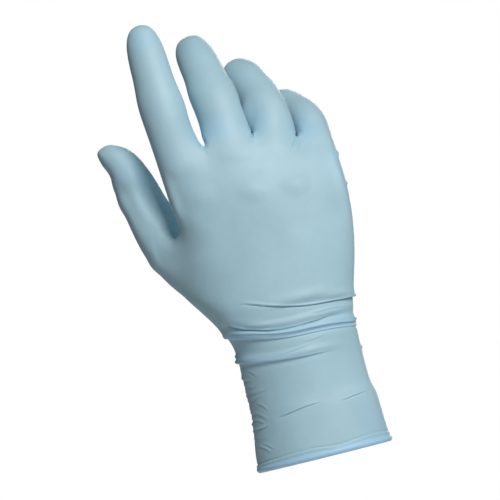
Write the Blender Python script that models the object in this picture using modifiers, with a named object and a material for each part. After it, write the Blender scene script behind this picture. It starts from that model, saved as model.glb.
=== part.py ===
"""A thin rubber exam glove in the shape it has on a right hand, as one hollow skin.

+Z runs up the forearm to the fingertips, -Y is the back of the hand and -X the thumb's side.
The origin is the middle of the cuff's mouth, where the wrist goes in. All lengths are in metres.
"""

import math
from collections import namedtuple

import bmesh
import bpy
from mathutils import Quaternion, Vector

# Driving dimensions, in metres

WALL = 0.0010
CUFF_LENGTH = 0.0720
MOUTH_WIDTH = 0.0715
MOUTH_DEPTH = 0.0540
WRIST_WIDTH = 0.0650
WRIST_DEPTH = 0.0440
BEAD_DIAMETER = 0.0026
PALM_LENGTH = 0.0750
PALM_SWELL = 0.0110
KNUCKLE_WIDTH = 0.0930
KNUCKLE_RISE = 0.0040
FINGER_LENGTH = 0.1060
FINGER_BREADTH = 0.0220
FINGER_DEPTH = 0.0200
THUMB_LENGTH = 0.0850
THUMB_BREADTH = 0.0225
FOLD_HEIGHT = 0.0018
FOLD_WIDTH = 0.0034
FOLD_DIP = 0.35

# Columns of the cage: one at the thumb's edge, nine over the back of the hand, one at the little
# finger's edge and nine over the palm. Each finger takes three of the nine, and shares the outer two.

BACK_COLUMNS = 9
COLUMNS = 2 * BACK_COLUMNS + 2
LITTLE_EDGE = BACK_COLUMNS + 1
FINGER_COLUMNS = 8

# A Catmull-Clark curve takes six parts of each cage point and one of each neighbour, so it lies inside
# its cage, and each ring is made larger by what it loses.


def cage_gain(points):
    """How much larger a ring of this many cage points is than the ring it subdivides to."""
    own, neighbours = 6, 2
    return (own + neighbours) / (own + neighbours * math.cos(2 * math.pi / points))


# Sleeve: height is a share of the cuff's length. Narrow and flat are the shares of the way from the
# mouth's width and depth to the wrist's. Lean is a sideways shift and lift how far the ring rises at
# the thumb's edge, both shares of the wrist's width. Rings crowd where the film is folded.

SleeveRing = namedtuple("SleeveRing", "height narrow flat lean lift folded")
SLEEVE = [
    SleeveRing(0.045, 0.00, 0.00, 0.000, 0.00, False),
    SleeveRing(0.080, 0.02, 0.02, 0.000, 0.00, True),
    SleeveRing(0.150, 0.15, 0.15, 0.000, 0.00, False),
    SleeveRing(0.250, 0.40, 0.40, 0.008, 0.00, True),
    SleeveRing(0.345, 0.60, 0.60, 0.014, 0.00, False),
    SleeveRing(0.390, 0.70, 0.70, 0.014, 0.00, True),
    SleeveRing(0.450, 1.02, 0.90, 0.002, 0.00, False),
    SleeveRing(0.560, 1.04, 1.00, 0.000, 0.01, True),
    SleeveRing(0.660, 1.04, 1.05, 0.000, 0.03, False),
    SleeveRing(0.720, 1.03, 1.05, 0.000, 0.05, True),
    SleeveRing(0.760, 1.02, 1.05, 0.000, 0.06, True),
    SleeveRing(0.800, 1.00, 1.05, 0.000, 0.06, False),
    SleeveRing(0.850, 0.96, 1.05, 0.000, 0.07, True),
    SleeveRing(0.895, 0.85, 1.05, -0.008, 0.08, False),
    SleeveRing(0.930, 0.58, 1.05, -0.021, 0.10, True),
    SleeveRing(0.970, 0.17, 1.04, -0.040, 0.12, True),
    SleeveRing(1.010, -0.14, 1.02, -0.046, 0.13, False),
    SleeveRing(1.055, -0.75, 1.00, -0.062, 0.15, True),
    SleeveRing(1.110, -1.40, 0.97, -0.081, 0.17, True),
    SleeveRing(1.165, -2.15, 0.95, -0.096, 0.18, False),
]

# Bead: the turns round its section, in degrees from straight out, where its rings lie.

BEAD_TURNS = (-90, -20, 60)

# Palm: rise is a share of the palm's length, spread the share of the way from the wrist's ring to the
# knuckles' and flare how much further out the thumb's edge stands, a share of the knuckles' width. The
# next three are shares of the palm's swell: the thumb's pad, the little finger's pad and the hollow
# between them. The thumb comes out of the rings that say so. The spans say where the pads fade out, from
# 0 at the little finger's edge to 1 at the thumb's.

PalmRing = namedtuple("PalmRing", "rise spread flare thenar hypothenar hollow thumb")
PALM = [
    PalmRing(0.12, 0.20, 0.045, 0.55, 0.35, 0.10, True),
    PalmRing(0.38, 0.68, 0.050, 1.05, 0.55, 0.00, True),
    PalmRing(0.68, 0.95, 0.000, 0.65, 0.40, -0.10, True),
    PalmRing(0.86, 1.00, 0.000, 0.15, 0.20, -0.10, False),
]

THENAR_SPAN = (0.45, 0.85)
HYPOTHENAR_SPAN = (0.15, 0.45)

# Fingers: across is where the knuckle stands from the glove's middle line, a share of the knuckles'
# width, up how far it is past the palm's length, a share of that length, and back how far it stands
# back, a share of the knuckles' rise. Reach, breadth and depth are shares of the finger's sizes, and
# root is the share of the reach at the web. Splay leans the finger towards the little finger, the bends
# are those of its three joints, and roll turns the plane of the last two, all in degrees.

Finger = namedtuple("Finger", "name across up back reach breadth depth splay roll bends root")
FINGERS = [
    Finger("index", -0.373, -0.013, 0.5, 0.997, 1.01, 0.98, -5.2, -14, (8, 10, 6), 0.22),
    Finger("middle", -0.071, 0.013, 1.0, 1.03, 1.04, 1.00, -5.0, 8, (20, 24, 13), 0.22),
    Finger("ring", 0.194, -0.013, 0.6, 0.93, 0.97, 0.95, -5.3, 24, (30, 23, 12), 0.23),
    Finger("little", 0.392, -0.060, -0.5, 0.845, 0.77, 0.84, -2.8, 37, (40, 28, 18), 0.27),
]

# Stations along a finger: along is a share of its reach, the rest shares of its breadth and depth.

Station = namedtuple("Station", "along breadth back pad")
STATIONS = [
    Station(0.36, 1.07, 0.52, 0.56),
    Station(0.44, 1.09, 0.55, 0.52),
    Station(0.53, 1.08, 0.54, 0.50),
    Station(0.63, 0.98, 0.47, 0.53),
    Station(0.74, 0.94, 0.46, 0.49),
    Station(0.85, 0.91, 0.42, 0.50),
    Station(0.955, 0.68, 0.29, 0.37),
]
KNUCKLE_STATION = Station(0.0, 1.14, 0.62, 0.78)
ROOT_STATION = Station(0.0, 1.10, 0.54, 0.58)
BEND_SPANS = ((-0.10, 0.10), (0.41, 0.53), (0.70, 0.80))
STEPS_TO_TIP = 50

# Thumb: each station has its outer and inner edge as seen from the back, shares of the thumb's length
# from its root, which is on the knuckles' edge at a share of the palm's length. Towards, how far the
# station's middle stands towards the palm's side, and side, half its thickness, are shares of its breadth.

THUMB_ROOT_UP = 0.42
ThumbStation = namedtuple("ThumbStation", "outer outer_up inner inner_up towards side")
THUMB = [
    ThumbStation(-0.105, 0.018, -0.045, 0.320, 0.38, 0.62),
    ThumbStation(-0.190, 0.124, -0.020, 0.375, 0.50, 0.60),
    ThumbStation(-0.251, 0.265, -0.002, 0.447, 0.71, 0.56),
    ThumbStation(-0.290, 0.441, -0.010, 0.535, 0.93, 0.52),
    ThumbStation(-0.318, 0.618, -0.050, 0.680, 1.07, 0.49),
    ThumbStation(-0.343, 0.790, -0.102, 0.825, 1.16, 0.45),
    ThumbStation(-0.402, 0.945, -0.168, 0.945, 1.20, 0.36),
]
THUMB_TIP = ThumbStation(-0.310, 1.040, -0.310, 1.040, 1.25, 0)

# Folds: the heights are shares of the cuff's length at the thumb's edge, the middle and the little
# finger's edge, size and width shares of the named fold. Start and end are turns round the sleeve from
# the thumb's edge over the back, and a fold fades in and out over a share of the way between them. It
# stands out on its upper side and dips on its lower side, each half a width from its middle line.

Fold = namedtuple("Fold", "thumb middle little size width start end")
FOLDS = [
    Fold(1.37, 1.160, 1.10, 1.00, 0.9, 0.13, 0.56),
    Fold(1.12, 1.006, 1.01, 1.00, 0.7, -0.01, 0.52),
    Fold(1.02, 0.940, 0.91, 0.80, 0.9, -0.10, 0.60),
    Fold(0.82, 0.765, 0.74, 0.80, 0.9, -0.10, 0.43),
    Fold(0.39, 0.390, 0.39, 0.30, 0.8, 0.10, 0.29),
    Fold(0.39, 0.390, 0.40, 0.30, 0.8, 0.35, 0.48),
]
FOLD_FADE = 0.3


def smooth_step(low, high, value):
    """0 below low, 1 above high and a smooth rise between them."""
    share = min(1.0, max(0.0, (value - low) / (high - low)))
    return share * share * (3 - 2 * share)


def mix(first, second, share):
    """The value that lies this share of the way from the first to the second."""
    return first + (second - first) * share


def turn_of(column):
    """The angle of a column, from the thumb's edge over the back to the little finger's edge."""
    return 2 * math.pi * column / COLUMNS


def sleeve_ring(ring, grow=0.0):
    """The points of one ring of the sleeve, an ellipse that rises towards the thumb."""
    width = mix(MOUTH_WIDTH, WRIST_WIDTH, ring.narrow) / 2 * cage_gain(COLUMNS) + grow
    depth = mix(MOUTH_DEPTH, WRIST_DEPTH, ring.flat) / 2 * cage_gain(COLUMNS) + grow
    points = []
    for column in range(COLUMNS):
        across = -math.cos(turn_of(column))
        rise = ring.lift * WRIST_WIDTH * max(0.0, -across) ** 2
        points.append(
            Vector(
                (
                    ring.lean * WRIST_WIDTH + width * across,
                    -depth * math.sin(turn_of(column)),
                    ring.height * CUFF_LENGTH + rise,
                )
            )
        )
    return points


def bead_rings():
    """The rings round the rolled rim, from under the mouth to where the sleeve leaves the roll."""
    radius = BEAD_DIAMETER / 2
    rings = []
    for degrees in BEAD_TURNS:
        angle = math.radians(degrees)
        height = radius * (1 + math.sin(angle)) / CUFF_LENGTH
        mouth = SleeveRing(height, 0, 0, 0, 0, True)
        rings.append(sleeve_ring(mouth, radius * math.cos(angle)))
    return rings


def finger_frame(finger, along):
    """(centre, back, side) of the finger at a share of its reach."""
    straight = Quaternion((0, 1, 0), math.radians(finger.splay))
    knuckle_axis = straight @ Vector((-1, 0, 0))
    joint_axis = Quaternion(straight @ Vector((0, 0, 1)), math.radians(finger.roll)) @ knuckle_axis

    def turn(share):
        bends = [
            math.radians(degrees * smooth_step(*span, share))
            for degrees, span in zip(finger.bends, BEND_SPANS)
        ]
        at_knuckle = Quaternion(knuckle_axis, bends[0])
        at_joints = Quaternion(joint_axis, bends[1] + bends[2])
        return at_knuckle @ at_joints @ straight

    centre = Vector(
        (
            finger.across * KNUCKLE_WIDTH,
            -finger.back * KNUCKLE_RISE,
            CUFF_LENGTH + (1 + finger.up) * PALM_LENGTH,
        )
    )
    steps = max(1, round(along * STEPS_TO_TIP))
    for step in range(steps):
        forward = turn((step + 0.5) / steps * along) @ Vector((0, 0, 1))
        centre += forward * (finger.reach * FINGER_LENGTH * along / steps)
    here = turn(along)
    return centre, here @ Vector((0, -1, 0)), here @ Vector((1, 0, 0))


def finger_ring(finger, station, along):
    """Eight points round the finger, from the thumb's side over the back to the other side."""
    centre, back, side = finger_frame(finger, along)
    gain = cage_gain(FINGER_COLUMNS)
    points = []
    for column in range(FINGER_COLUMNS):
        angle = math.pi - 2 * math.pi * column / FINGER_COLUMNS
        breadth = finger.breadth * FINGER_BREADTH * station.breadth / 2
        depth = finger.depth * FINGER_DEPTH * (station.back if math.sin(angle) > 0 else station.pad)
        points.append(
            centre
            + side * (math.cos(angle) * breadth * gain)
            + back * (math.sin(angle) * depth * gain)
        )
    return points


def over_fingers(finger_rings, first, middle, last):
    """The points over the fingers' backs or pads, where neighbours share the one between them."""
    points = [finger_rings[0][first]]
    for ring, following in zip(finger_rings, finger_rings[1:]):
        points += [ring[middle], (ring[last] + following[first]) / 2]
    return [*points, finger_rings[-1][middle], finger_rings[-1][last]]


def shared_ring(finger_rings):
    """One ring round the hand through the four fingers' rings."""
    back = over_fingers(finger_rings, 1, 2, 3)
    palm = over_fingers(finger_rings, 7, 6, 5)
    return [finger_rings[0][0], *back, finger_rings[-1][4], *reversed(palm)]


def palm_rings():
    """The rings between the wrist and the knuckles, with the palm's pads, then the knuckles' ring."""
    wrist = sleeve_ring(SLEEVE[-1])
    knuckles = shared_ring([finger_ring(finger, KNUCKLE_STATION, 0.0) for finger in FINGERS])
    rings = []
    for ring in PALM:
        points = []
        for column, (start, end) in enumerate(zip(wrist, knuckles)):
            near_thumb = (1 + math.cos(turn_of(column))) / 2
            flare = ring.flare * KNUCKLE_WIDTH * near_thumb**3
            thenar = smooth_step(*THENAR_SPAN, near_thumb)
            hypothenar = 1 - smooth_step(*HYPOTHENAR_SPAN, near_thumb)
            swell = ring.thenar * thenar + ring.hypothenar * hypothenar
            swell += ring.hollow * (1 - thenar - hypothenar)
            palm_side = max(0.0, -math.sin(turn_of(column))) ** 0.5
            x = mix(start.x, end.x, ring.spread) - flare
            y = mix(start.y, end.y, ring.rise) + PALM_SWELL * palm_side * swell
            points.append(Vector((x, y, mix(start.z, end.z, ring.rise))))
        rings.append(points)
    return [*rings, knuckles]


def add_ring(bm, points):
    """New vertices at these points."""
    return [bm.verts.new(point) for point in points]


def loft(bm, lower, upper, skip=()):
    """Quads between two rings of as many points, except over the columns in skip."""
    count = len(lower)
    for column in range(count):
        if column not in skip:
            after = (column + 1) % count
            bm.faces.new((lower[column], upper[column], upper[after], lower[after]))


def close_tip(bm, ring, tip):
    """Four quads over the end of a tube of eight points."""
    centre = bm.verts.new(tip)
    for column in range(1, FINGER_COLUMNS, 2):
        before, after = column - 1, (column + 1) % FINGER_COLUMNS
        bm.faces.new((ring[before], centre, ring[after], ring[column]))


def add_finger(bm, finger, root):
    """One finger, from the ring of vertices at its root to its tip."""
    ring = root
    for station in STATIONS:
        following = add_ring(bm, finger_ring(finger, station, station.along))
        loft(bm, ring, following)
        ring = following
    tip = finger_frame(finger, 1.0)[0]
    close_tip(bm, ring, tip)


def add_fingers(bm, knuckles):
    """The webs, the ring at the fingers' roots and the four fingers."""
    rings = [finger_ring(finger, ROOT_STATION, finger.root) for finger in FINGERS]
    root = add_ring(bm, shared_ring(rings))
    loft(bm, knuckles, root)
    sides = [root[0]]
    for index in range(1, len(FINGERS)):
        web = (rings[index - 1][4] + rings[index][0]) / 2
        sides.append(bm.verts.new(web))
    sides.append(root[LITTLE_EDGE])
    for index, finger in enumerate(FINGERS):
        first = 1 + 2 * index
        back = root[first : first + 3]
        palm = [root[COLUMNS - first - step] for step in range(3)]
        ring = [sides[index], *back, sides[index + 1], palm[2], palm[1], palm[0]]
        add_finger(bm, finger, ring)


def thumb_edges(station):
    """The outer and the inner edge of the thumb at a station."""
    root = Vector((-KNUCKLE_WIDTH / 2, 0, CUFF_LENGTH + THUMB_ROOT_UP * PALM_LENGTH))
    towards = Vector((0, station.towards, 0)) * THUMB_BREADTH
    outer = Vector((station.outer, 0, station.outer_up)) * THUMB_LENGTH
    inner = Vector((station.inner, 0, station.inner_up)) * THUMB_LENGTH
    return root + towards + outer, root + towards + inner


def thumb_ring(number):
    """Eight points round the thumb: outer edge, over the side that faces back, inner edge, palm side."""
    stations = [*THUMB, THUMB_TIP]
    outer, inner = thumb_edges(stations[number])
    before = sum(thumb_edges(stations[max(number - 1, 0)]), Vector()) / 2
    after = sum(thumb_edges(stations[number + 1]), Vector()) / 2
    back = (inner - outer).cross(after - before).normalized()
    half = (inner - outer) / 2
    gain = cage_gain(FINGER_COLUMNS)
    thickness = THUMB_BREADTH * stations[number].side
    points = []
    for column in range(FINGER_COLUMNS):
        angle = math.pi - 2 * math.pi * column / FINGER_COLUMNS
        around = half * math.cos(angle) + back * thickness * math.sin(angle)
        points.append((outer + inner) / 2 + around * gain)
    return points


def add_thumb(bm, rows):
    """The thumb, out of the opening that the palm's rows leave at its edge."""
    lower, upper = rows[0], rows[-1]
    back = [row[1] for row in rows]
    palm = [row[-1] for row in rows[::-1]]
    ring = [lower[0], *back, upper[0], *palm]
    for number in range(len(THUMB)):
        following = add_ring(bm, thumb_ring(number))
        loft(bm, ring, following)
        ring = following
    close_tip(bm, ring, thumb_edges(THUMB_TIP)[0])


def cage(with_folds):
    """The open cage of the glove, from the mouth to the tips."""
    bm = bmesh.new()
    sleeve = [sleeve_ring(ring) for ring in SLEEVE if with_folds or not ring.folded]
    if with_folds:
        sleeve = bead_rings() + sleeve
    rows = [add_ring(bm, points) for points in [*sleeve, *palm_rings()]]
    at_thumb = [len(sleeve) + index for index, ring in enumerate(PALM) if ring.thumb]
    for index in range(len(rows) - 1):
        beside_thumb = (0, COLUMNS - 1) if index in at_thumb[:-1] else ()
        loft(bm, rows[index], rows[index + 1], beside_thumb)
    add_thumb(bm, [rows[index] for index in at_thumb])
    add_fingers(bm, rows[-1])
    bm.verts.remove(rows[at_thumb[1]][0])
    bmesh.ops.recalc_face_normals(bm, faces=bm.faces)
    return bm


def fold_offset(fold, place):
    """How far a fold pushes the film out at this place."""
    turn = math.atan2(-place.y, -place.x) / (2 * math.pi)
    if turn < fold.start - FOLD_FADE:
        turn += 1
    across = max(-1.0, min(1.0, place.x / (WRIST_WIDTH / 2)))
    edge = fold.thumb if across < 0 else fold.little
    line = mix(fold.middle, edge, across * across) * CUFF_LENGTH
    fading = FOLD_FADE * (fold.end - fold.start)
    fade = smooth_step(fold.start, fold.start + fading, turn)
    fade *= 1 - smooth_step(fold.end - fading, fold.end, turn)
    away = (place.z - line) / (FOLD_WIDTH * fold.width)
    crest = math.exp(-((2 * away - 1) ** 2))
    dip = FOLD_DIP * math.exp(-((2 * away + 1) ** 2))
    return FOLD_HEIGHT * fold.size * fade * (crest - dip)


def skin(with_folds):
    """The cage subdivided to a smooth open surface, as a mesh."""
    bm = cage(with_folds)
    mesh = bpy.data.meshes.new("cage")
    bm.to_mesh(mesh)
    bm.free()
    draft = bpy.data.objects.new("cage", mesh)
    bpy.context.scene.collection.objects.link(draft)
    rounding = draft.modifiers.new("rounding", "SUBSURF")
    rounding.levels = rounding.render_levels = 1
    graph = bpy.context.evaluated_depsgraph_get()
    smooth = bpy.data.meshes.new_from_object(draft.evaluated_get(graph))
    bpy.data.objects.remove(draft)
    return smooth


def push(mesh, offset):
    """Move each vertex along its normal by what offset gives for its place."""
    normals = [vertex.normal.copy() for vertex in mesh.vertices]
    for vertex, normal in zip(mesh.vertices, normals):
        vertex.co += normal * offset(vertex.co)


def glove_mesh():
    """The outer skin with its folds, and the plain inner skin one wall inside it, joined at the rim."""
    outer = skin(with_folds=True)
    push(outer, lambda place: sum(fold_offset(fold, place) for fold in FOLDS))
    inner = skin(with_folds=False)
    push(inner, lambda place: -WALL)
    bm = bmesh.new()
    bm.from_mesh(outer)
    bm.from_mesh(inner)
    bmesh.ops.bridge_loops(bm, edges=[edge for edge in bm.edges if edge.is_boundary])
    bmesh.ops.recalc_face_normals(bm, faces=bm.faces)
    bmesh.ops.triangulate(bm, faces=bm.faces)
    mesh = bpy.data.meshes.new("glove")
    bm.to_mesh(mesh)
    bm.free()
    return mesh


def nitrile():
    """Pale blue rubber film with a soft sheen."""
    material = bpy.data.materials.new("nitrile_film")
    material.use_nodes = True
    surface = material.node_tree.nodes["Principled BSDF"]
    surface.inputs["Base Color"].default_value = (0.36, 0.53, 0.61, 1)
    surface.inputs["Roughness"].default_value = 0.5
    surface.inputs["Metallic"].default_value = 0.0
    return material


def main():
    for thing in list(bpy.data.objects):
        bpy.data.objects.remove(thing)
    collection = bpy.data.collections.new("exam_glove")
    bpy.context.scene.collection.children.link(collection)
    mesh = glove_mesh()
    mesh.materials.append(nitrile())
    mesh.shade_smooth()
    collection.objects.link(bpy.data.objects.new("glove", mesh))


main()
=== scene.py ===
# %% [markdown]
# A nitrile exam glove, filled out as it is when worn. The real one is a single film of rubber: a former
# in the glove's shape is dipped in the liquid, the film dries on it, its mouth is rolled up into a thin
# bead, and the glove is peeled off. So this scene has one piece, the film, and one finish.
#
# The plain solid of the glove is loaded first, as a fixed frame in metres. +Z runs from the cuff's mouth
# to the fingertips, -Y is the glove's back and -X is the thumb's side.

import math

import bpy
import numpy as np
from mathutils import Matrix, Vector


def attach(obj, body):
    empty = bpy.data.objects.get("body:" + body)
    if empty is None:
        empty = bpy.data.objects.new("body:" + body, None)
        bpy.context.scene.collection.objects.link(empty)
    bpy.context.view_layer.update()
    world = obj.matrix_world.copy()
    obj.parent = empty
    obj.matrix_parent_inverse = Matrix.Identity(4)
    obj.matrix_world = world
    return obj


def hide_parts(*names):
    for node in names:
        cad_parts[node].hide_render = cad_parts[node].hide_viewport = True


MM = 0.001

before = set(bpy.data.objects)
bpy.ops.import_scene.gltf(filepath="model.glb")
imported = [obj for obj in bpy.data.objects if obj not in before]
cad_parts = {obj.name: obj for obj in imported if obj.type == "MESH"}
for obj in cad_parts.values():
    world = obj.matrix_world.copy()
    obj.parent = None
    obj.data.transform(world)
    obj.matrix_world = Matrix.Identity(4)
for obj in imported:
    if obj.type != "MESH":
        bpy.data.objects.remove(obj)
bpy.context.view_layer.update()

# %% [markdown]
# The photograph was taken square to the glove's back, with a long lens, and the glove leans in it. A
# camera that is rolled by that lean sees the same thing while the glove itself stays upright. A long lens
# from far away keeps the near and the far fingers at the same scale.

# %% Camera
LEAN = math.radians(14.0)
FIELD = 265 * MM
AIM = Vector((-12.2, 0, 115.6)) * MM
CAMERA_DISTANCE = 10.0
SENSOR = 36.0

view_up = Vector((math.sin(LEAN), 0, math.cos(LEAN)))
view_right = Vector((math.cos(LEAN), 0, -math.sin(LEAN)))
towards_camera = Vector((0, -1, 0))

camera_data = bpy.data.cameras.new("camera")
camera_data.sensor_width = SENSOR
camera_data.lens = SENSOR * CAMERA_DISTANCE / FIELD
camera_data.clip_end = 50
camera = bpy.data.objects.new("camera", camera_data)
bpy.context.scene.collection.objects.link(camera)
camera.location = AIM + towards_camera * CAMERA_DISTANCE
camera.rotation_euler = (math.radians(90), LEAN, 0)
bpy.context.scene.camera = camera
print("lens:", round(camera_data.lens), "mm")

# %% [markdown]
# A studio lights such a glove with large soft boxes, which give broad highlights and no hard shadow. One
# stands well above the glove, in front and to the right, which leaves the thumb's side in shade. A weaker
# one fills from below. A third lights the palm, which only the views from behind see. Each is a square
# area lamp, placed in the picture's own directions, because the camera is rolled.


# %% Soft boxes
def linear(colour):
    """An sRGB hex colour as the linear one that a shader takes."""
    channels = [int(colour[index : index + 2], 16) / 255 for index in (1, 3, 5)]
    return [c / 12.92 if c <= 0.04045 else ((c + 0.055) / 1.055) ** 2.4 for c in channels] + [1]


def add_softbox(name, right, up, out, size, power, colour):
    """A square lamp that faces the glove, placed by the picture's own right, up and out."""
    lamp = bpy.data.lights.new(name, "AREA")
    lamp.size = size
    lamp.energy = power
    lamp.color = linear(colour)[:3]
    thing = bpy.data.objects.new(name, lamp)
    bpy.context.scene.collection.objects.link(thing)
    place = view_right * right + view_up * up + towards_camera * out
    thing.location = AIM + place
    thing.rotation_euler = place.to_track_quat("Z", "Y").to_euler()
    thing.visible_camera = False


add_softbox("key_softbox", right=0.5, up=1.6, out=1.5, size=1.0, power=49, colour="#fffaf4")
add_softbox("fill_softbox", right=0.6, up=-0.6, out=1.6, size=1.2, power=3, colour="#f2f8ff")
add_softbox("palm_softbox", right=0.25, up=0.4, out=-2.2, size=1.0, power=32, colour="#fffaf4")
print("soft boxes:", len(bpy.data.lights))

# %% [markdown]
# The surround is white to the eye, but gives little light, so the edges of the fingers stay darker than
# their backs, as in the photograph. One world colour can't do both. So a Light Path node tells the rays
# apart: one that comes straight from the camera sees white, and all others get a weak, pale glow.


# %% Surround
def add_node(tree, kind, settings, links=()):
    """Add a node, set its properties and its sockets, and link (socket, node, output) to it."""
    node = tree.nodes.new(kind)
    for name, value in settings.items():
        if isinstance(name, int) or name in node.inputs:
            node.inputs[name].default_value = value
        else:
            setattr(node, name, value)
    for socket, source, output in links:
        tree.links.new(source.outputs[output], node.inputs[socket])
    return node


GLOW = 0.15

surround = bpy.data.worlds.new("surround")
surround.use_nodes = True
tree = surround.node_tree
tree.nodes.clear()
sight = add_node(tree, "ShaderNodeLightPath", {})
glow = add_node(tree, "ShaderNodeBackground", {"Color": linear("#eef4f8"), "Strength": GLOW})
white = add_node(tree, "ShaderNodeBackground", {"Color": linear("#ffffff"), "Strength": 1.0})
seen = add_node(tree, "ShaderNodeMixShader", {}, [(0, sight, "Is Camera Ray"), (1, glow, 0), (2, white, 0)])
add_node(tree, "ShaderNodeOutputWorld", {}, [("Surface", seen, 0)])
bpy.context.scene.world = surround
bpy.context.scene.view_settings.view_transform = "Standard"
print("surround: glows with strength", GLOW)

# %% [markdown]
# The floor is a pale, matt disc that lies well below the glove, out of the photograph's view. A plane
# would do as well, but a disc shows no corner in the views from the side.

# %% Floor
FLOOR_DROP = 250 * MM
FLOOR_RADIUS = 0.6
bpy.ops.object.select_all(action="DESELECT")
bpy.ops.mesh.primitive_circle_add(
    vertices=96, radius=FLOOR_RADIUS, fill_type="NGON", location=(0, 0, -FLOOR_DROP)
)
floor = bpy.context.object
floor.name = "floor"
paint = bpy.data.materials.new("pale_matte_floor")
paint.use_nodes = True
paint.node_tree.nodes["Principled BSDF"].inputs["Base Color"].default_value = linear("#f1f2f2")
paint.node_tree.nodes["Principled BSDF"].inputs["Roughness"].default_value = 0.9
floor.data.materials.append(paint)
print("floor:", FLOOR_DROP, "m below the mouth")

# %% [markdown]
# The film starts from a copy of the plain solid, so that every finger is already in its place. The
# solid's mesh is loose triangles, so the copy's doubles are merged, and its triangles are joined to
# quads, which subdivide evenly. Modelling the glove again from a primitive could drift from the solid.


# %% Copy the solid
def only(*things):
    """Select these objects and no others, with the first one active."""
    bpy.ops.object.select_all(action="DESELECT")
    for thing in things:
        thing.select_set(True)
    bpy.context.view_layer.objects.active = things[0]


SAME_PLACE = 0.001 * MM

film = bpy.data.objects.new("glove_film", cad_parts["glove"].data.copy())
bpy.context.scene.collection.objects.link(film)
only(film)
bpy.ops.object.mode_set(mode="EDIT")
bpy.ops.mesh.select_all(action="SELECT")
bpy.ops.mesh.customdata_custom_splitnormals_clear()
bpy.ops.mesh.remove_doubles(threshold=SAME_PLACE)
bpy.ops.mesh.tris_convert_to_quads(face_threshold=math.pi, shape_threshold=math.pi)
bpy.ops.mesh.select_all(action="DESELECT")
bpy.ops.object.mode_set(mode="OBJECT")
print("copy:", len(film.data.polygons), "faces")

# %% [markdown]
# The rolled mouth joins the outer skin to the inner one. With the faces under the roll taken out, the two
# skins come apart, and the outer one, which is what the eye sees, can be made twice as fine.

# %% Part the two skins
ROLL_BOTTOM, ROLL_TOP = 0.1 * MM, 2.0 * MM

heights = np.array([vertex.co.z for vertex in film.data.vertices])
for face in film.data.polygons:
    span = heights[list(face.vertices)]
    face.select = bool(span.min() < ROLL_BOTTOM and span.max() > ROLL_TOP)
print("under the roll:", sum(face.select for face in film.data.polygons), "faces")
bpy.ops.object.mode_set(mode="EDIT")
bpy.ops.mesh.delete(type="FACE")
bpy.ops.mesh.select_all(action="SELECT")
bpy.ops.mesh.separate(type="LOOSE")
bpy.ops.object.mode_set(mode="OBJECT")
outer, inner = sorted(
    bpy.context.selected_objects, key=lambda skin: min(vertex.co.z for vertex in skin.data.vertices)
)
print("outer:", len(outer.data.polygons), "faces, inner:", len(inner.data.polygons), "faces")

# %% [markdown]
# The film is round everywhere, and the copy still shows the solid's flat facets. A Subdivision Surface
# modifier splits each face into four and rounds the form, twice for the outer skin and once for the inner
# one. Smooth shading alone would hide the facets, but not their corners along the outline.


# %% Round both skins
def subdivide(skin, levels):
    """Apply a Subdivision Surface modifier."""
    only(skin)
    rounding = skin.modifiers.new("rounding", "SUBSURF")
    rounding.levels = rounding.render_levels = levels
    bpy.ops.object.modifier_apply(modifier=rounding.name)
    print(skin.name, "now has", len(skin.data.polygons), "faces")


subdivide(outer, 2)
subdivide(inner, 1)

# %% [markdown]
# Rounding draws a skin in a little, so the outer one is blown out again by as much, as air would do it:
# each vertex moves along its own normal. Scaling would shift the fingers instead. The inner skin isn't
# seen above the mouth, so there it moves into the hollow, and the outer one never sinks through it.


# %% Blow the outer skin out again
def ramp(low, high, value):
    """0 below low, 1 above high and a smooth rise between them."""
    t = np.clip((value - low) / (high - low), 0, 1)
    return t * t * (3 - 2 * t)


def places_of(skin):
    """The skin's vertices and their normals in millimetres, as two tables of three columns."""
    count = len(skin.data.vertices)
    places, normals = np.zeros(count * 3), np.zeros(count * 3)
    skin.data.vertices.foreach_get("co", places)
    skin.data.vertices.foreach_get("normal", normals)
    return places.reshape(-1, 3) / MM, normals.reshape(-1, 3)


def place(skin, places):
    """Put the skin's vertices at these places, in millimetres."""
    skin.data.vertices.foreach_set("co", (places * MM).ravel())
    skin.data.update()


def push_out(skin, distance):
    """Move each vertex along its normal by its own distance in millimetres."""
    places, normals = places_of(skin)
    place(skin, places + normals * np.reshape(distance, (-1, 1)))


BLOWN_OUT = 0.5
SPARE_WALL = 1.0
SEEN_FROM_BELOW, UNSEEN = 8, 30

push_out(outer, BLOWN_OUT)
places, _ = places_of(inner)
push_out(inner, SPARE_WALL * ramp(SEEN_FROM_BELOW, UNSEEN, places[:, 2]))
print("the outer skin moved", BLOWN_OUT, "mm out, the inner one up to", SPARE_WALL, "mm in")

# %% [markdown]
# On the glove's back and in the web of the thumb the film is stretched, so it has no dent or edge there.
# The vertices are smoothed over and over, and each keeps its own share of that change, so the stretched
# film has a soft border. A Smooth brush does the same, but not the same way each time.


# %% Stretch the back and the thumb's web
def near(places, centre, reach):
    """1 at a place, and less and less towards the end of its reach along x, y and z."""
    return 1 - ramp(0, 1, np.linalg.norm((places - centre) / np.array(reach, float), axis=1))


def relax(skin, share, repeat):
    """Smooth the film over and over, and keep each vertex's own share of that change."""
    before, _ = places_of(skin)
    only(skin)
    bpy.ops.object.mode_set(mode="EDIT")
    bpy.ops.mesh.select_mode(type="VERT")
    bpy.ops.mesh.select_all(action="DESELECT")
    bpy.ops.object.mode_set(mode="OBJECT")
    skin.data.vertices.foreach_set("select", share > 0)
    bpy.ops.object.mode_set(mode="EDIT")
    bpy.ops.mesh.vertices_smooth(factor=0.5, repeat=repeat)
    bpy.ops.object.mode_set(mode="OBJECT")
    after, _ = places_of(skin)
    place(skin, before + (after - before) * share[:, None])


THUMB_WEB, THUMB_WEB_REACH = (-49, 2, 126), (24, 26, 26)
# More than 1, so that the whole middle of the thumb's web is smoothed in full, and not just its centre.
FULL_SHARE = 1.6

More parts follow.
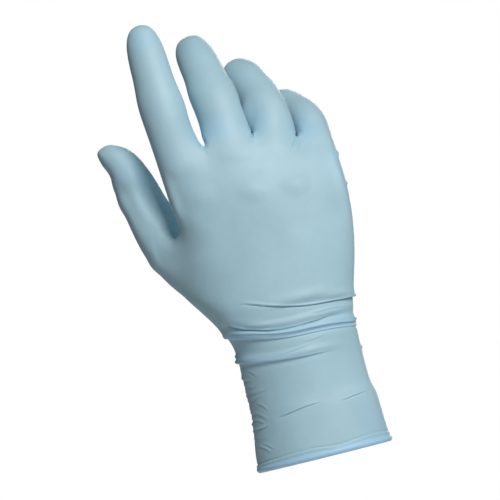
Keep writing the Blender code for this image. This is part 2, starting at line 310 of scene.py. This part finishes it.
places, normals = places_of(outer)
upper_back = ramp(0.45, 0.85, -normals[:, 1]) * ramp(112, 126, places[:, 2]) * ramp(170, 160, places[:, 2])
relax(outer, upper_back, repeat=160)
relax(outer, np.minimum(1, FULL_SHARE * near(places, THUMB_WEB, THUMB_WEB_REACH)), repeat=160)
places, _ = places_of(inner)
relax(inner, np.minimum(1, FULL_SHARE * near(places, THUMB_WEB, THUMB_WEB_REACH)), repeat=40)
print("stretched:", int((upper_back > 0).sum()), "points of the back, and the thumb's web")

# %% [markdown]
# The plain solid has some forms only in the rough: the flat corner of the thumb's tip, the slant of the
# ring finger's end, the thumb that stands close behind the edge of the palm. Each is one pull on the
# film, as with a sculptor's grab brush: a place, a reach and a move, all in millimetres, with a soft end.


# %% Pull the skins into shape
def grab(skin, pulls):
    """Move the film near each place by that pull, less and less towards the end of its reach."""
    places, _ = places_of(skin)
    moved = places.copy()
    for at, reach, move in pulls:
        moved += np.outer(near(places, at, reach), move)
    place(skin, moved)


# Each pull: place, reach along x, y and z, move.
PULLS = [
    # Thumb: close behind the palm's edge, its tip's flat corner, its waist and the corner at its root
    ((-47.5, 18, 137), (9, 14, 20), (3.0, 0, 0)),
    ((-78.0, 27, 184.5), (6, 9, 5), (-1.3, 0, 0.9)),
    ((-73.0, 27, 187), (7, 9, 5), (0, 0, 0.9)),
    ((-77.0, 26, 172), (7, 14, 9), (1.5, 0, 0)),
    ((-73.0, 24, 155), (7, 14, 9), (-0.9, 0, 0)),
    ((-65.5, 8, 119), (8, 12, 8), (-0.9, 0, -0.3)),
    # The palm's edge at the root of the thumb lies further back
    ((-62, 2, 108), (46, 36, 42), (0, 8.0, 0)),
    ((-54, 18, 158), (12, 18, 26), (0, 4.0, 0)),
    # Fingertips, index to little
    ((-41, 12, 245), (14, 14, 9), (0, 0, 0.9)),
    ((-15, 36, 233), (14, 18, 9), (0, 0, 0.9)),
    ((3, 55, 215), (12, 16, 9), (0, 0, 0.5)),
    ((12, 48, 207), (12, 16, 12), (0.6, 0, 0.8)),
    ((26, 55, 194), (12, 18, 8), (0, 0, 0.8)),
    # The slot between the index and the middle finger ends lower, and round
    ((-23.3, 4, 175.0), (4.5, 14, 7), (0, 0, -2.2)),
    ((-22.2, 5, 176.0), (3.5, 14, 4.5), (1.5, 0, 0)),
    # The ring and the little finger part lower down
    ((26.0, 14, 169), (5, 10, 8), (-0.6, 0, -2.4)),
    # Ring finger: its left side lies behind the middle finger
    ((3.5, 17, 181), (8, 9, 18), (-2.6, 0, 0)),
    # Joints of the fingers stand a little wider than the bones between them
    ((-51, 8, 205), (8, 14, 16), (-0.5, 0, 0)),
    ((-27, 8, 201), (8, 14, 15), (0.5, 0, 0)),
    ((-24, 17, 203), (8, 14, 15), (-0.5, 0, 0)),
    ((0, 17, 201), (8, 14, 14), (0.6, 0, 0)),
    ((19, 34, 199), (9, 14, 12), (0.7, 0, 0.3)),
    # Knuckles, index to little
    ((-31, -12, 149), (11, 10, 9), (0, -0.7, 0)),
    ((-2, -15, 146), (12, 10, 9), (0, -1.1, 0)),
    ((20, -11, 144), (10, 10, 8), (0, -1.0, 0)),
    # Gathered film that stands out at the edge of the wrist and of the little finger's side
    ((-33.0, 0, 62.6), (2.4, 6, 1.3), (-0.7, 0, 0)),
    ((-33.0, 0, 59.4), (2.4, 6, 1.3), (-0.9, 0, 0)),
    ((-32.6, 0, 50.8), (2.4, 6, 2.2), (-0.4, 0, 0)),
    ((-32.9, 0, 41.0), (2.4, 6, 2.2), (-0.4, 0, 0)),
    ((-33.2, 0, 34.0), (2.4, 6, 2.0), (-0.3, 0, 0)),
    ((-33.6, 0, 25.6), (2.4, 6, 1.3), (-0.9, 0, 0)),
    ((-33.9, 0, 22.0), (2.4, 6, 1.2), (-0.6, 0, 0)),
    ((35.3, 0, 79), (2.6, 7, 1.3), (0.9, 0, 0.2)),
    ((33.4, 0, 67), (2.6, 7, 1.3), (0.8, 0, 0)),
    ((33.4, 0, 51.5), (2.6, 7, 1.3), (0.9, 0, 0)),
    ((45.5, 8, 154), (3, 7, 1.4), (1.2, 0, 0)),
    ((46.2, 3, 137.5), (3, 7, 1.4), (0.9, 0, 0)),
]

grab(outer, PULLS)
grab(inner, PULLS)
print("pulled at", len(PULLS), "places")

# %% [markdown]
# Where the film is longer than the wrist needs, it gathers into folds that run across it. A fold leans
# over, so it has a round back on one side and a sharp drop, in shade, on the other, and a thin groove
# under the drop. A cloth simulation would gather the film too, but not in the places where the photograph
# has its folds. So each fold is given by the line of its drop, as a few (x, z) points. First, a smooth
# line is drawn through them, and the film is measured against it.


# %% Measure the film against a line
def smooth_line(points, at):
    """A smooth curve through the points (place, value), read at these places."""
    places, values = (np.array(column, float) for column in zip(*points))
    slopes = np.gradient(values, places)
    at = np.clip(at, places[0], places[-1])
    left = np.clip(np.searchsorted(places, at) - 1, 0, len(places) - 2)
    span = places[left + 1] - places[left]
    t = (at - places[left]) / span
    return (
        (2 * t**3 - 3 * t**2 + 1) * values[left]
        + (t**3 - 2 * t**2 + t) * span * slopes[left]
        + (3 * t**2 - 2 * t**3) * values[left + 1]
        + (t**3 - t**2) * span * slopes[left + 1]
    )


STEP = 0.6


def walk(points):
    """Places, directions and distances along a smooth line through (x, z) points."""
    points = np.array(points, float)
    passed = np.concatenate([[0], np.cumsum(np.linalg.norm(np.diff(points, axis=0), axis=1))])
    at = np.linspace(0, passed[-1], max(6, round(passed[-1] / STEP)))
    line = np.stack([smooth_line(list(zip(passed, points[:, axis])), at) for axis in (0, 1)], axis=1)
    direction = np.gradient(line, axis=0)
    return line, direction / np.linalg.norm(direction, axis=1)[:, None], at


def beside(places, points, reach):
    """Which points lie within reach of a line, how far to its left, how far along it, and its length."""
    line, direction, at = walk(points)
    x, z = places[:, 0], places[:, 2]
    low, high = line.min(axis=0) - reach, line.max(axis=0) + reach
    close = np.flatnonzero((x > low[0]) & (x < high[0]) & (z > low[1]) & (z < high[1]))
    gap = places[close][:, None, [0, 2]] - line[None]
    closest = (gap**2).sum(axis=2).argmin(axis=1)
    offset = gap[np.arange(len(close)), closest]
    heading = direction[closest]
    left = heading[:, 0] * offset[:, 1] - heading[:, 1] * offset[:, 0]
    along = at[closest] + (heading * offset).sum(axis=1)
    return close, left, along, at[-1]


print("a line is followed in steps of", STEP, "mm")

# %% [markdown]
# Across its line, a fold has one profile: the lip rises steeply, the round back falls away behind it, and
# the groove dips in front. Looking at the glove's back and along the line, the round back of the fold is
# on the left. The fold fades out at both ends, and round the glove's edge.
#
# Slack film is thinner to the eye than stretched film, and bluer. So the folds also write how slack the
# film is into an attribute, which the material reads later. There the slack colour is also a little
# lighter, so along the round back of each fold it is a painted highlight as well. A painted image would
# need a flat map of the glove, which an attribute doesn't.


# %% The profile of a fold
def fold(skin, table, side):
    """The height and the slackness, which also paints a highlight, of all the folds on one side of the
    glove, -1 back or 1 palm.
    """
    places, normals = places_of(skin)
    facing = normals[:, 1] * side
    height, slack = np.zeros(len(places)), np.zeros(len(places))
    for row in table:
        close, left, along, length = beside(places, row["line"], 4 * row["back"] + 1)
        start, end = row.get("fade", (4, 4))
        strength = ramp(-0.1, start, along) * ramp(-length - 0.1, -length + end, -along)
        strength *= ramp(-row.get("wrap", 0.2), 0.2, facing[close])
        rise = ramp(-row["lip"] / 2, row["lip"] / 2, left)
        round_back = rise * np.exp(-((np.maximum(left, 0) / row["back"]) ** 2))
        groove = np.exp(-(((left + row["lip"]) / (1.2 * row["lip"])) ** 2))
        height[close] += (row["high"] * round_back - row.get("groove", 0) * groove) * strength
        slack[close] += row.get("slack", 0) * round_back * strength
    return height, slack


def add_slack_and_highlight(skin, amount):
    """Add to how slack the film is at each vertex, which also paints a highlight through the lighter slack
    colour, and return the sum.
    """
    slack = skin.data.attributes.get("slack") or skin.data.attributes.new("slack", "FLOAT", "POINT")
    total = np.zeros(len(skin.data.vertices), np.float32)
    slack.data.foreach_get("value", total)
    total += amount.astype(np.float32)
    slack.data.foreach_set("value", total)
    return total


print("points that the folds can move:", len(outer.data.vertices))

# %% [markdown]
# These are the folds and creases that the photograph shows on the back. Each row has the line of the drop
# and its sizes in millimetres: how high the lip stands, how far the round back reaches, how wide the lip
# is, how deep the groove is, and over what length each end fades. It also says how slack the film is, and
# how far the fold wraps round the edge.

# %% Folds of the back
BACK_FOLDS = [
    # Two long folds where the back meets the wrist, each with a sharp drop
    {"line": [(-26, 89.5), (-20, 88), (-10, 84.6), (0, 82), (10, 80), (20, 79.2), (30, 78.7), (38, 78.5)],
     "high": 0.70, "back": 0.9, "lip": 0.30, "groove": 0.60, "fade": (9, 2), "slack": 0.35},
    {"line": [(-35, 80.5), (-25, 75.5), (-20, 74), (-10, 71.5), (0, 70.8), (10, 71), (22, 71.8)],
     "high": 0.75, "back": 0.95, "lip": 0.30, "groove": 0.65, "fade": (5, 16), "slack": 0.25},
    {"line": [(8, 75.5), (16, 75), (24, 75.2), (31, 74)],
     "high": 0.40, "back": 1.2, "lip": 0.4, "groove": 0.15, "fade": (9, 8), "slack": 0.2},
    # The slack ridge at the narrowest place, which is two thin ones side by side
    {"line": [(-38, 73.5), (-20, 69.0), (-10, 66.8), (0, 65.6), (10, 65.3), (20, 64.8), (36, 62.8)],
     "high": 0.50, "back": 1.1, "lip": 0.44, "groove": 0.12, "fade": (2, 2), "slack": 0.85},
    {"line": [(-36, 75.8), (-20, 71.6), (-10, 69.4), (0, 68.2), (10, 67.9), (22, 67.2), (34, 65.4)],
     "high": 0.45, "back": 0.9, "lip": 0.40, "groove": 0.08, "fade": (4, 3), "slack": 0.9},
    # Folds under it
    {"line": [(-37, 59.5), (-28, 57.6), (-20, 56.6), (-10, 55.3), (0, 54.4), (10, 53.9), (20, 53.5)],
     "high": 0.48, "back": 1.0, "lip": 0.42, "groove": 0.14, "fade": (2, 16), "slack": 0.9},
    {"line": [(-14, 57.5), (-8, 58.0), (0, 58.8), (9, 60)],
     "high": 0.35, "back": 1.0, "lip": 0.5, "groove": 0.18, "fade": (6, 8), "slack": 0.25},
    {"line": [(2, 61.5), (10, 61.8), (18, 63.2)],
     "high": 0.22, "back": 1.0, "lip": 0.5, "groove": 0.10, "fade": (6, 8), "slack": 0.2},
    # Two thin creases across the middle of the cuff
    {"line": [(-20, 25.6), (-12, 27.0), (-4, 28.2), (7, 28.7)],
     "high": 0.36, "back": 1.1, "lip": 0.28, "groove": 0.36, "fade": (5, 9), "slack": 0.35},
    {"line": [(14, 26.4), (22, 27.6), (31, 28.4)],
     "high": 0.36, "back": 1.0, "lip": 0.28, "groove": 0.34, "fade": (6, 7), "slack": 0.35},
    # Small wrinkles on the thumb's side of the cuff
    {"line": [(-34, 43), (-30, 41.5), (-25, 41.3), (-20, 42.5)],
     "high": 0.34, "back": 0.9, "lip": 0.4, "groove": 0.20, "wrap": 0.9, "fade": (1, 6), "slack": 0.15},
    {"line": [(-33, 46.5), (-29, 44.6), (-25.5, 44.8)],
     "high": 0.26, "back": 0.8, "lip": 0.35, "groove": 0.22, "wrap": 0.9, "fade": (1, 4), "slack": 0.15},
    {"line": [(-30, 54.2), (-26.5, 51.4), (-25, 48.6)],
     "high": 0.24, "back": 0.9, "lip": 0.35, "groove": 0.20, "wrap": 0.9, "fade": (2, 3), "slack": 0.1},
    {"line": [(-29, 36.0), (-25.5, 33.2), (-23.5, 30.2)],
     "high": 0.26, "back": 0.9, "lip": 0.35, "groove": 0.22, "wrap": 0.9, "fade": (2, 3), "slack": 0.1},
    {"line": [(-34, 28.4), (-30, 26.6), (-27, 24.2)],
     "high": 0.30, "back": 0.8, "lip": 0.35, "groove": 0.22, "wrap": 0.9, "fade": (1, 3), "slack": 0.15},
    {"line": [(-34.5, 51), (-30.5, 48.4), (-27.5, 47.6)],
     "high": 0.34, "back": 1.0, "lip": 0.4, "groove": 0.22, "wrap": 0.9, "fade": (2, 4)},
    {"line": [(-34, 37.4), (-30, 37.8), (-25, 39.4)],
     "high": 0.36, "back": 0.9, "lip": 0.4, "groove": 0.24, "wrap": 0.9, "fade": (1, 4), "slack": 0.15},
    {"line": [(-34.5, 31.5), (-30.5, 30.4), (-27, 28), (-24.5, 24.5)],
     "high": 0.36, "back": 1.0, "lip": 0.45, "groove": 0.18, "wrap": 0.9, "fade": (2, 4)},
    {"line": [(-35, 23.2), (-30, 22.2), (-24, 23.4)],
     "high": 0.40, "back": 0.9, "lip": 0.4, "groove": 0.26, "wrap": 0.9, "fade": (1, 5), "slack": 0.2},
    {"line": [(-35, 17.5), (-30, 16.4), (-25, 17.6)],
     "high": 0.22, "back": 1.0, "lip": 0.5, "groove": 0.10, "wrap": 0.9, "fade": (1, 5)},
    {"line": [(-33.5, 13.5), (-30, 11.5), (-27, 8.2)],
     "high": 0.32, "back": 0.9, "lip": 0.4, "groove": 0.12, "wrap": 0.9, "fade": (2, 3), "slack": 0.6},
    {"line": [(-31, 14.5), (-27.5, 12.3), (-25, 9.5)],
     "high": 0.22, "back": 0.8, "lip": 0.4, "groove": 0.10, "wrap": 0.9, "fade": (2, 3), "slack": 0.5},
    # Creases that run down from the webs between the fingers
    {"line": [(4.6, 176.0), (4.1, 174.0), (2.8, 172.0), (0.6, 170.6)],
     "high": 0.55, "back": 1.4, "lip": 0.4, "groove": 1.3, "fade": (0.3, 3.5), "slack": 0.1},
    {"line": [(27.2, 169.6), (26.6, 167.0), (24.8, 164.0), (22, 161.6)],
     "high": 0.65, "back": 1.6, "lip": 0.4, "groove": 1.5, "fade": (0.3, 4.5), "slack": 0.1},
    {"line": [(-23.6, 176), (-23.2, 173.4), (-21.5, 171)],
     "high": 0.15, "back": 1.0, "lip": 0.5, "groove": 0.3, "fade": (1, 3), "slack": 0.2},
    # Short creases at the edges of the palm
    {"line": [(38.5, 152.6), (42, 153.2), (47, 154)],
     "high": 0.25, "back": 0.9, "lip": 0.4, "groove": 0.15, "fade": (3, 1), "slack": 0.5},
    {"line": [(44.5, 136.6), (47, 137.3)],
     "high": 0.25, "back": 0.9, "lip": 0.4, "groove": 0.1, "fade": (1, 1), "slack": 0.4},
]
print("folds of the back:", len(BACK_FOLDS))

# %% [markdown]
# The photograph doesn't show the palm's side. The wrist's folds run on round to it, since they start and
# end at its edges, and they are rounder there. The palm has its long, soft creases, where it bends.

# %% Folds of the palm's side
PALM_FOLDS = [
    {"line": [(-2, 80.5), (12, 80.2), (24, 79.2), (38, 78.5)],
     "high": 0.8, "back": 2.2, "lip": 0.5, "groove": 0.2, "fade": (14, 1), "slack": 0.2},
    {"line": [(-38, 81), (-28, 78), (-16, 75.8), (-2, 74.8), (12, 74.6)],
     "high": 0.9, "back": 2.2, "lip": 0.5, "groove": 0.25, "fade": (2, 14), "slack": 0.2},
    {"line": [(-38, 73.5), (-24, 70.6), (-8, 68.2), (8, 66.4), (22, 64.6), (36, 62.8)],
     "high": 1.0, "back": 2.5, "lip": 0.6, "groove": 0.25, "fade": (1, 1), "slack": 0.5},
    {"line": [(-37, 59.5), (-26, 58.8), (-14, 57.2), (-2, 56.4)],
     "high": 0.7, "back": 1.9, "lip": 0.7, "groove": 0.2, "fade": (1, 12), "slack": 0.3},
    {"line": [(4, 51.5), (14, 52), (26, 52.2), (36, 51.5)],
     "high": 0.5, "back": 1.5, "lip": 0.6, "groove": 0.15, "fade": (10, 1), "slack": 0.2},
    {"line": [(-24, 33), (-12, 31.2), (0, 31.4), (10, 33)],
     "high": 0.3, "back": 1.3, "lip": 0.4, "groove": 0.2, "fade": (7, 7), "slack": 0.1},
    {"line": [(-36, 23.2), (-28, 24.6), (-19, 24)],
     "high": 0.32, "back": 1.2, "lip": 0.5, "groove": 0.15, "fade": (1, 6), "slack": 0.1},
    {"line": [(16, 21), (26, 22.4), (36, 25)],
     "high": 0.3, "back": 1.2, "lip": 0.5, "groove": 0.15, "fade": (6, 2), "slack": 0.1},
    # The long creases of the palm
    {"line": [(-35, 103), (-27, 110), (-20, 119), (-19, 129), (-25, 138), (-36, 143)],
     "high": 0.5, "back": 2.2, "lip": 0.9, "groove": 0.25, "fade": (8, 5), "slack": 0.1},
    {"line": [(-38, 140), (-24, 137), (-8, 131), (10, 123), (24, 115)],
     "high": 0.4, "back": 2.0, "lip": 0.9, "groove": 0.22, "fade": (6, 12), "slack": 0.08},
    {"line": [(-22, 152), (-8, 147), (8, 141), (26, 137), (42, 137)],
     "high": 0.4, "back": 2.0, "lip": 0.9, "groove": 0.25, "fade": (8, 4), "slack": 0.08},
    {"line": [(-30, 92), (-20, 91), (-8, 88.5), (6, 87.5)],
     "high": 0.45, "back": 1.8, "lip": 0.7, "groove": 0.18, "fade": (5, 8), "slack": 0.1},
]
print("folds of the palm's side:", len(PALM_FOLDS))

# %% [markdown]
# A thin crease needs faces that are smaller than its lip. Subdividing the whole skin once more would make
# four times as many triangles, so only the faces where the fingers part are split, and those in a strip
# beside each fold with a thin lip.


# %% Split the faces under thin creases
def middles_of(skin):
    """The middles of the skin's faces in millimetres."""
    middles = np.zeros(len(skin.data.polygons) * 3)
    skin.data.polygons.foreach_get("center", middles)
    return middles.reshape(-1, 3) / MM


def refine(skin, chosen, cuts):
    """Split the chosen faces, so that they can hold a thin crease."""
    only(skin)
    bpy.ops.object.mode_set(mode="EDIT")
    bpy.ops.mesh.select_mode(type="FACE")
    bpy.ops.mesh.select_all(action="DESELECT")
    bpy.ops.object.mode_set(mode="OBJECT")
    skin.data.polygons.foreach_set("select", chosen)
    bpy.ops.object.mode_set(mode="EDIT")
    bpy.ops.mesh.subdivide(number_cuts=cuts)
    bpy.ops.object.mode_set(mode="OBJECT")


# Half the strip's width, and how far its middle lies from the drop towards the fold's round back.
FOLD_STRIP, STRIP_MIDDLE = 1.1, 0.3
# A lip narrower than this is thin, and above this height the palm begins, which needs no strips.
THIN_LIP, PALM_EDGE = 0.45, 95


def faces_beside(skin, table, side):
    """The faces on one side of the wrist and cuff that lie beside a fold's drop."""
    normals = np.zeros(len(skin.data.polygons) * 3)
    skin.data.polygons.foreach_get("normal", normals)
    middles = middles_of(skin)
    chosen = np.zeros(len(middles), bool)
    for row in table:
        if row["lip"] < THIN_LIP:
            close, left, along, length = beside(middles, row["line"], 2 * FOLD_STRIP)
            in_strip = np.abs(left - STRIP_MIDDLE) < FOLD_STRIP
            chosen[close] |= in_strip & (along > -1) & (along < length + 1)
    return chosen & (normals.reshape(-1, 3)[:, 1] * side > 0) & (middles[:, 2] < PALM_EDGE)


WEBS = [(-23.5, 2, 172), (1.5, 6, 172), (24, 12, 165)]
WEB_REACH = (7, 14, 9)
middles = middles_of(outer)
at_webs = np.max([near(middles, web, WEB_REACH) for web in WEBS], axis=0) > 0
refine(outer, at_webs, cuts=2)
print("split", int(at_webs.sum()), "faces where the fingers part")
at_folds = faces_beside(outer, BACK_FOLDS, -1)
refine(outer, at_folds, cuts=1)
print("split", int(at_folds.sum()), "faces beside the folds")

# %% [markdown]
# Now the film has faces enough, and each vertex moves along its normal by the height of all the folds
# that it lies in. Where two of them meet, their heights add up, as crossing folds do.

# %% Push the folds out
# The folds' slackness also paints a highlight on their round backs, through the lighter slack colour.
back_height, back_slack_and_highlight = fold(outer, BACK_FOLDS, -1)
palm_height, palm_slack_and_highlight = fold(outer, PALM_FOLDS, 1)
add_slack_and_highlight(outer, back_slack_and_highlight + palm_slack_and_highlight)
push_out(outer, back_height + palm_height)
print("folds stand", round(float((back_height + palm_height).max()), 2), "mm out")

# %% [markdown]
# A bent finger has too much film on its inside. It gathers there into small folds across each joint, one
# behind the other. A joint is bent and turned, so they aren't given by lines in x and z but from the
# joint's middle, by how far a point lies ahead of it. The faces there are split first, as for the creases.

# %% Gathers inside the finger joints
# Each joint: its middle, the way its back faces, the way that leads to the little finger, gather height.
JOINTS = [
    ((-39.1, 4.8, 195.0), (-0.02, -0.97, 0.22), (1.00, 0.00, 0.07), 0.25),
    ((-40.4, 13.7, 223.2), (-0.03, -0.94, 0.35), (1.00, -0.01, 0.04), 0.20),
    ((-10.9, 13.3, 196.0), (-0.05, -0.85, 0.53), (0.99, 0.01, 0.11), 0.45),
    ((-14.5, 34.2, 218.0), (-0.09, -0.64, 0.76), (0.99, 0.04, 0.15), 0.30),
    ((14.1, 20.2, 186.2), (-0.07, -0.76, 0.65), (0.99, 0.05, 0.16), 0.50),
    ((8.3, 41.3, 202.9), (-0.12, -0.55, 0.82), (0.96, 0.14, 0.24), 0.35),
    ((34.6, 28.4, 175.1), (-0.05, -0.63, 0.78), (0.98, 0.10, 0.15), 0.50),
    ((27.1, 49.7, 185.8), (-0.14, -0.36, 0.92), (0.92, 0.31, 0.26), 0.35),
]
# Each gather: how far ahead of the joint's middle its drop is, and its share of the height.
GATHERS = [(-4.2, 0.6), (-1.2, 1.0), (1.8, 0.7)]
GATHER_BACK, GATHER_LIP, GATHER_SLACK = 1.3, 0.6, 0.6
FINGER_REACH = 14

middles = middles_of(outer)
at_joints = np.zeros(len(middles), bool)
for middle, back, side, _ in JOINTS:
    offset = middles - middle
    ahead, backward = offset @ np.cross(back, side), offset @ np.array(back)
    at_joints |= (backward < 1) & (np.abs(ahead) < 9) & (np.linalg.norm(offset, axis=1) < FINGER_REACH)
refine(outer, at_joints, cuts=1)
places, _ = places_of(outer)
gathered = np.zeros(len(places))
for middle, back, side, high in JOINTS:
    offset = places - middle
    ahead = offset @ np.cross(back, side)
    backward, sideways = offset @ np.array(back), offset @ np.array(side)
    from_axis = np.hypot(backward, sideways)
    inside = ramp(-0.1, 0.7, -backward / from_axis) * (from_axis < FINGER_REACH)
    for shift, share in GATHERS:
        past = ahead - shift - 0.04 * sideways
        rise = ramp(-GATHER_LIP, GATHER_LIP, past) * np.exp(-((np.maximum(past, 0) / GATHER_BACK) ** 2))
        gathered += high * share * rise * inside * (np.abs(ahead) < 12)
push_out(outer, gathered)
add_slack_and_highlight(outer, GATHER_SLACK * gathered)

# %% [markdown]
# Round the mouth the film is rolled up on itself into a bead. Over the bead the last few millimetres are
# doubled: they end in a thin line, which wanders up and down, and below it the film is loose, with a
# painted highlight along the bead.
# A tube along the mouth could stand for the bead, but the real one is the film itself. So the film swells
# there, and steps out below the line, with a thin groove above it.

# %% Hem and bead
# Height of the hem line at places round the mouth, in degrees from the thumb's side by way of the back.
HEM_LINE = [
    (-180, 4.6), (-140, 5.4), (-90, 4.9), (-45, 4.2), (0, 3.8),
    (40, 4.9), (80, 5.4), (105, 4.2), (145, 5.4), (180, 4.6),
]
HEM_STEP, HEM_SLACK = 0.3, 0.3
GROOVE_DEPTH, GROOVE_MIDDLE, GROOVE_WIDTH = 0.28, 0.35, 0.4
BEAD_TOP, BEAD_SWELL, BEAD_SLACK_AND_HIGHLIGHT = 2.0, 0.12, 0.6

places, _ = places_of(outer)
round_mouth = np.degrees(np.arctan2(-places[:, 1], -places[:, 0]))
above_line = places[:, 2] - smooth_line(HEM_LINE, round_mouth)
step = HEM_STEP * ramp(GROOVE_MIDDLE, -0.1, above_line) * ramp(-2.0, -0.6, above_line)
groove = GROOVE_DEPTH * np.exp(-(((above_line - GROOVE_MIDDLE) / GROOVE_WIDTH) ** 2))
bead = BEAD_SWELL * ramp(BEAD_TOP + 0.6, BEAD_TOP - 0.6, places[:, 2])
push_out(outer, step - groove + bead)
# The bead's slackness is also a painted highlight along the rim, through the lighter slack colour.
loose_and_highlit_bead = BEAD_SLACK_AND_HIGHLIGHT * ramp(BEAD_TOP + 0.8, BEAD_TOP - 0.6, places[:, 2])
loose_hem = HEM_SLACK * ramp(0.2, -0.4, above_line)
add_slack_and_highlight(outer, loose_and_highlit_bead + loose_hem)
print("hem line", round(float(places[np.abs(above_line) < 0.3, 2].mean()), 1), "mm above the mouth")

# %% [markdown]
# The film is also slack where the fingers part, at the ends of some fingers and beside the wrist's folds.
# These patches have no edge, so each is a soft round spot that only changes the attribute, not the shape.

# %% Slack patches
# Each patch: place (x, z), reach, how slack.
BACK_PATCHES = [
    ((-22, 182), 9, 0.45), ((-11, 182), 12, 0.35), ((9, 180), 12, 0.25), ((30, 170), 12, 0.35),
    ((-42, 238), 12, 0.35), ((-16, 228), 10, 0.15), ((40, 148), 16, 0.15), ((-30, 78), 12, 0.2),
    ((33, 12), 16, 0.2), ((-30, 64), 9, 0.25), ((28, 70), 9, 0.25), ((-68, 172), 12, 0.2),
]

places, normals = places_of(outer)
patches = np.zeros(len(places))
for (x, z), reach, amount in BACK_PATCHES:
    away = np.hypot(places[:, 0] - x, places[:, 2] - z) / reach
    patches += amount * (1 - ramp(0, 1, away)) * ramp(-0.3, 0.3, -normals[:, 1])
slackness = add_slack_and_highlight(outer, patches)
print("slack film:", round(100 * float((slackness > 0.3).mean())), "% of the points")

# %% [markdown]
# The two skins are joined again over the roll of the mouth, so that the film is one closed body. The only
# open edges are those of the two mouths, and Bridge Edge Loops fills the ring between them with faces, as
# the roll does on the real glove. Shading is smooth all over.

# %% Join the skins at the mouth
only(outer, inner)
bpy.ops.object.join()
film = bpy.context.object
film.name = film.data.name = "glove_film"
bpy.ops.object.mode_set(mode="EDIT")
bpy.ops.mesh.select_all(action="DESELECT")
bpy.ops.mesh.select_mode(type="EDGE")
bpy.ops.mesh.select_non_manifold(
    use_wire=False, use_multi_face=False, use_non_contiguous=False, use_verts=False
)
bpy.ops.mesh.bridge_edge_loops()
bpy.ops.mesh.select_all(action="SELECT")
bpy.ops.mesh.normals_make_consistent(inside=False)
bpy.ops.object.mode_set(mode="OBJECT")
bpy.ops.object.shade_smooth()
print("film:", sum(len(face.vertices) - 2 for face in film.data.polygons), "triangles")

# %% [markdown]
# Nitrile is a synthetic rubber. The dipped film is a tenth of a millimetre thick, dyed pale blue, and
# washed in chlorine so that it isn't sticky. Where it is stretched it looks greyer, and where it is slack
# it is a purer blue. The slack colour is also a little lighter: a painted highlight on the ridges of the
# folds and along the bead. Dipping leaves it slightly cloudy, in patches of some 25 mm. One flat colour
# would look like moulded plastic, so the colour follows the slackness of the film, with its painted
# highlight, and a noise for the clouds.

# %% Colour of the nitrile film
# The slack colour is the slack film's own bluer tone, made a little lighter as a painted highlight on the
# folds' ridges and the bead.
TAUT_FILM, CLOUDED_FILM, SLACK_FILM_AND_HIGHLIGHT = "#a1c6d6", "#9bbfcf", "#9ccaec"
CLOUD = 25 * MM
# A Mix node that is set to colours takes them at its sockets 6 and 7 and gives the result at its output 2.
FIRST, SECOND, MIXED = 6, 7, 2

nitrile = bpy.data.materials.new("chlorinated_nitrile_film")
nitrile.use_nodes = True
tree = nitrile.node_tree
surface = tree.nodes["Principled BSDF"]
spot = add_node(tree, "ShaderNodeTexCoord", {})
looseness_and_highlight = add_node(tree, "ShaderNodeAttribute", {"attribute_name": "slack"})
clouds = add_node(
    tree, "ShaderNodeTexNoise", {"Scale": 1 / CLOUD, "Detail": 3.0}, [("Vector", spot, "Object")]
)
cloudy = add_node(tree, "ShaderNodeMapRange", {"From Min": 0.35, "From Max": 0.65}, [("Value", clouds, 0)])
tight = add_node(
    tree,
    "ShaderNodeMix",
    {"data_type": "RGBA", FIRST: linear(TAUT_FILM), SECOND: linear(CLOUDED_FILM)},
    [(0, cloudy, 0)],
)
film_colour = add_node(
    tree,
    "ShaderNodeMix",
    {"data_type": "RGBA", SECOND: linear(SLACK_FILM_AND_HIGHLIGHT)},
    [(0, looseness_and_highlight, "Fac"), (FIRST, tight, MIXED)],
)
tree.links.new(film_colour.outputs[MIXED], surface.inputs["Base Color"])
print("film colour: taut", TAUT_FILM, "and slack", SLACK_FILM_AND_HIGHLIGHT, "with clouds of", CLOUD / MM, "mm")

# %% [markdown]
# The chlorine wash leaves a satin skin with broad, soft highlights, which is a middling roughness and a
# little sheen. Dipping also leaves a faint ripple of about 6 mm and a grain that is too fine to see. The
# grain is drawn as coarse as 0.7 mm so that it shows. Both are shallower than the mesh can hold, so they
# are bump in the material, and the folds are left to the mesh.

# %% Satin skin of the nitrile film
RIPPLE, RIPPLE_DEPTH = 6 * MM, 0.25 * MM
GRAIN, GRAIN_DEPTH = 0.7 * MM, 0.05 * MM

surface.inputs["IOR"].default_value = 1.52
surface.inputs["Sheen Weight"].default_value = 0.12
surface.inputs["Sheen Roughness"].default_value = 0.5
ripple = add_node(
    tree, "ShaderNodeTexNoise", {"Scale": 1 / RIPPLE, "Detail": 2.0}, [("Vector", spot, "Object")]
)
grain = add_node(
    tree, "ShaderNodeTexNoise", {"Scale": 1 / GRAIN, "Detail": 1.0}, [("Vector", spot, "Object")]
)
satin = add_node(tree, "ShaderNodeMapRange", {"To Min": 0.5, "To Max": 0.62}, [("Value", ripple, 0)])
rippled = add_node(
    tree, "ShaderNodeBump", {"Strength": 0.5, "Distance": RIPPLE_DEPTH}, [("Height", ripple, 0)]
)
grained = add_node(
    tree,
    "ShaderNodeBump",
    {"Strength": 0.35, "Distance": GRAIN_DEPTH},
    [("Height", grain, 0), ("Normal", rippled, 0)],
)
tree.links.new(satin.outputs[0], surface.inputs["Roughness"])
tree.links.new(grained.outputs[0], surface.inputs["Normal"])
film.data.materials.clear()
film.data.materials.append(nitrile)
print("satin skin: ripple of", RIPPLE / MM, "mm, grain of", GRAIN / MM, "mm")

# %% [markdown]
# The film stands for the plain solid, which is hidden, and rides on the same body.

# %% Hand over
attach(film, "root")
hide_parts("glove")
